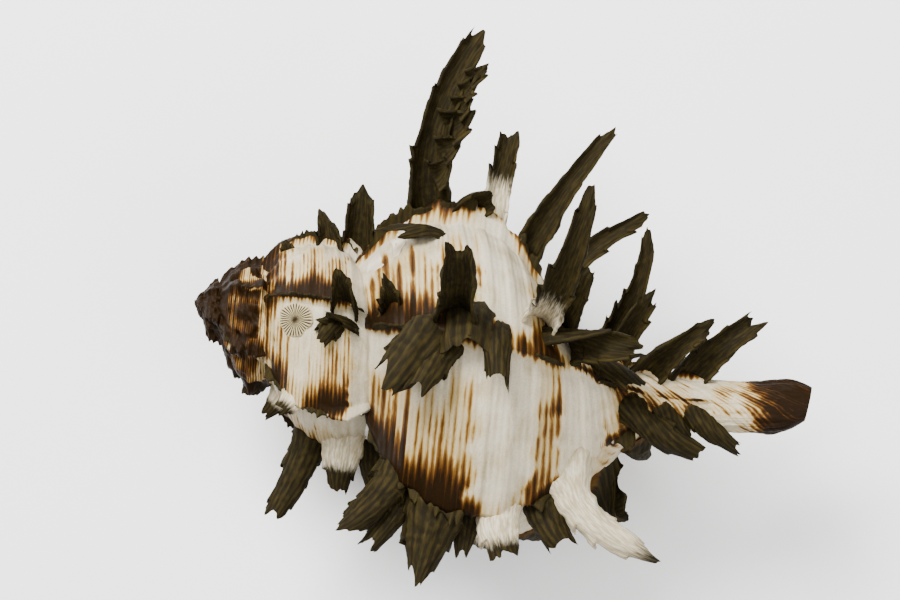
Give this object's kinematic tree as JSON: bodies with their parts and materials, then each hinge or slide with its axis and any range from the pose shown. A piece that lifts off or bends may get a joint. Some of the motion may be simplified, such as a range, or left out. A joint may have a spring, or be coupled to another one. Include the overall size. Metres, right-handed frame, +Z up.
{
  "type": "murex shell",
  "caption": "Frondose murex seashell with spiral whorls, leafy spines along its varices, an open aperture and a long canal; it rests on its aperture side.",
  "frame": {"origin": "on the ground under the middle of the shell's outline", "axes": "+X along the coiling axis from the spire to the tip of the canal, +Z up through the back of the body whorl, +Y toward the side with the tallest frond"},
  "size_m": [0.0936, 0.083, 0.0645],
  "materials": {
    "shell": "weathered cream shell with brown spiral lines and near-black fronds, dull; the mouth is smooth white"
  },
  "bodies": {
    "root": {"shell": "shell"}
  },
  "joints": []
}
